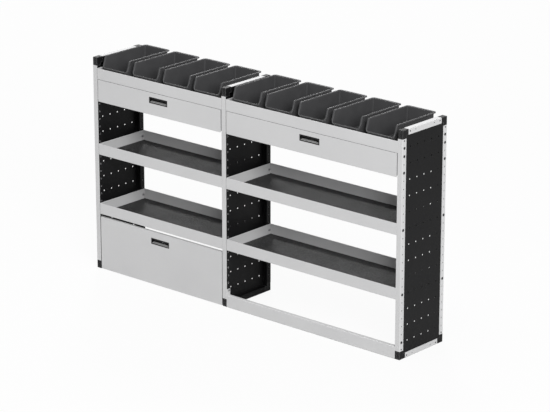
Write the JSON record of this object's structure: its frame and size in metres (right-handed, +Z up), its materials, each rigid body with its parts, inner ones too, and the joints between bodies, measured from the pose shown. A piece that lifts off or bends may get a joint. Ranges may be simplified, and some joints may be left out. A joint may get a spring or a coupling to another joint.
{
  "type": "van racking unit",
  "caption": "Two-bay van racking unit with angle frames, perforated side panels, lipped shelves, drawers, a drop-down flap and open-fronted bins.",
  "frame": {"origin": "centre of the footprint, on the floor", "axes": "+Z up, +X along the rack to the right as seen from the front, front faces -Y"},
  "size_m": [2.2716, 0.375, 1.2855],
  "materials": {
    "pale_steel": "satin pale grey coating",
    "black_steel": "satin black coating",
    "block_plastic": "smooth black moulding",
    "handle_plastic": "smooth black moulding",
    "bin_plastic": "fine-grained charcoal moulding",
    "mat_rubber": "fine-ribbed dark grey rubber",
    "dark_steel": "black coated fasteners",
    "zinc_steel": "zinc plated steel"
  },
  "bodies": {
    "rack": {"left_frame_front_post": "pale_steel", "left_frame_rear_post": "pale_steel", "left_frame_top_rail": "pale_steel", "left_frame_bottom_rail": "pale_steel", "left_frame_side_panel": "black_steel", "left_frame_corner_blocks": "block_plastic", "middle_frame_front_post": "pale_steel", "middle_frame_rear_post": "pale_steel", "middle_frame_top_rail": "pale_steel", "middle_frame_bottom_rail": "pale_steel", "middle_frame_side_panel": "black_steel", "middle_frame_corner_blocks": "block_plastic", "right_frame_front_post": "pale_steel", "right_frame_rear_post": "pale_steel", "right_frame_top_rail": "pale_steel", "right_frame_bottom_rail": "pale_steel", "right_frame_side_panel": "black_steel", "right_frame_corner_blocks": "block_plastic", "frame_rivets": "dark_steel", "left_top_tray": "pale_steel", "left_upper_shelf": "pale_steel", "left_lower_shelf": "pale_steel", "left_upper_mat": "mat_rubber", "left_lower_mat": "mat_rubber", "right_top_tray": "pale_steel", "right_upper_shelf": "pale_steel", "right_lower_shelf": "pale_steel", "right_upper_mat": "mat_rubber", "right_lower_mat": "mat_rubber", "right_foot_rail": "pale_steel", "frame_bolts": "dark_steel", "frame_nuts": "zinc_steel", "flap_pivot_pins": "zinc_steel", "left_drawer_runners": "zinc_steel", "right_drawer_runners": "zinc_steel"},
    "left_drawer": {"left_drawer_slides": "zinc_steel", "left_drawer_box": "zinc_steel", "left_drawer_front": "pale_steel", "left_drawer_handle": "handle_plastic"},
    "left_drawer_latch": {"left_drawer_paddle": "handle_plastic"},
    "right_drawer": {"right_drawer_slides": "zinc_steel", "right_drawer_box": "zinc_steel", "right_drawer_front": "pale_steel", "right_drawer_handle": "handle_plastic"},
    "right_drawer_latch": {"right_drawer_paddle": "handle_plastic"},
    "flap": {"flap_panel": "pale_steel", "flap_handle": "handle_plastic"},
    "flap_latch": {"flap_paddle": "handle_plastic"},
    "flap_left_lock": {"flap_left_rod": "zinc_steel"},
    "flap_right_lock": {"flap_right_rod": "zinc_steel"},
    "left_bin_1": {"left_bin_1": "bin_plastic"},
    "left_bin_2": {"left_bin_2": "bin_plastic"},
    "left_bin_3": {"left_bin_3": "bin_plastic"},
    "left_bin_4": {"left_bin_4": "bin_plastic"},
    "right_bin_1": {"right_bin_1": "bin_plastic"},
    "right_bin_2": {"right_bin_2": "bin_plastic"},
    "right_bin_3": {"right_bin_3": "bin_plastic"},
    "right_bin_4": {"right_bin_4": "bin_plastic"},
    "right_bin_5": {"right_bin_5": "bin_plastic"}
  },
  "joints": [
    {"name": "left_drawer_slide", "type": "slide", "parent": "rack", "child": "left_drawer", "axis": [0, -1, 0], "range_m": [0, 0.3]},
    {"name": "left_drawer_latch_hinge", "type": "hinge", "parent": "left_drawer", "child": "left_drawer_latch", "pos_m": [-0.62075, -0.1815, 1.112], "axis": [-1, 0, 0], "range_deg": [0, 25], "stiffness_Nm_per_rad": 0.3, "springref_deg": -17.19},
    {"name": "right_drawer_slide", "type": "slide", "parent": "rack", "child": "right_drawer", "axis": [0, -1, 0], "range_m": [0, 0.3]},
    {"name": "right_drawer_latch_hinge", "type": "hinge", "parent": "right_drawer", "child": "right_drawer_latch", "pos_m": [0.49575, -0.1815, 1.112], "axis": [-1, 0, 0], "range_deg": [0, 25], "stiffness_Nm_per_rad": 0.3, "springref_deg": -17.19},
    {"name": "flap_hinge", "type": "hinge", "parent": "rack", "child": "flap", "pos_m": [-0.62075, -0.1775, 0.019], "axis": [1, 0, 0], "range_deg": [0, 90]},
    {"name": "flap_latch_hinge", "type": "hinge", "parent": "flap", "child": "flap_latch", "pos_m": [-0.62075, -0.1815, 0.274], "axis": [-1, 0, 0], "range_deg": [0, 25], "stiffness_Nm_per_rad": 0.3, "springref_deg": -17.19},
    {"name": "flap_left_lock_slide", "type": "slide", "parent": "flap", "child": "flap_left_lock", "axis": [1, 0, 0], "range_m": [0, 0.008]},
    {"name": "flap_right_lock_slide", "type": "slide", "parent": "flap", "child": "flap_right_lock", "axis": [-1, 0, 0], "range_m": [0, 0.008]},
    {"name": "left_bin_1_lift", "type": "slide", "parent": "rack", "child": "left_bin_1", "axis": [0, 0, 1], "range_m": [0, 0.2]},
    {"name": "left_bin_2_lift", "type": "slide", "parent": "rack", "child": "left_bin_2", "axis": [0, 0, 1], "range_m": [0, 0.2]},
    {"name": "left_bin_3_lift", "type": "slide", "parent": "rack", "child": "left_bin_3", "axis": [0, 0, 1], "range_m": [0, 0.2]},
    {"name": "left_bin_4_lift", "type": "slide", "parent": "rack", "child": "left_bin_4", "axis": [0, 0, 1], "range_m": [0, 0.2]},
    {"name": "right_bin_1_lift", "type": "slide", "parent": "rack", "child": "right_bin_1", "axis": [0, 0, 1], "range_m": [0, 0.2]},
    {"name": "right_bin_2_lift", "type": "slide", "parent": "rack", "child": "right_bin_2", "axis": [0, 0, 1], "range_m": [0, 0.2]},
    {"name": "right_bin_3_lift", "type": "slide", "parent": "rack", "child": "right_bin_3", "axis": [0, 0, 1], "range_m": [0, 0.2]},
    {"name": "right_bin_4_lift", "type": "slide", "parent": "rack", "child": "right_bin_4", "axis": [0, 0, 1], "range_m": [0, 0.2]},
    {"name": "right_bin_5_lift", "type": "slide", "parent": "rack", "child": "right_bin_5", "axis": [0, 0, 1], "range_m": [0, 0.2]}
  ],
  "couplings": [
    {"joint": "flap_latch_hinge", "follows": "flap_left_lock_slide", "rad_per_m": 54},
    {"joint": "flap_right_lock_slide", "follows": "flap_left_lock_slide", "ratio": 1}
  ]
}
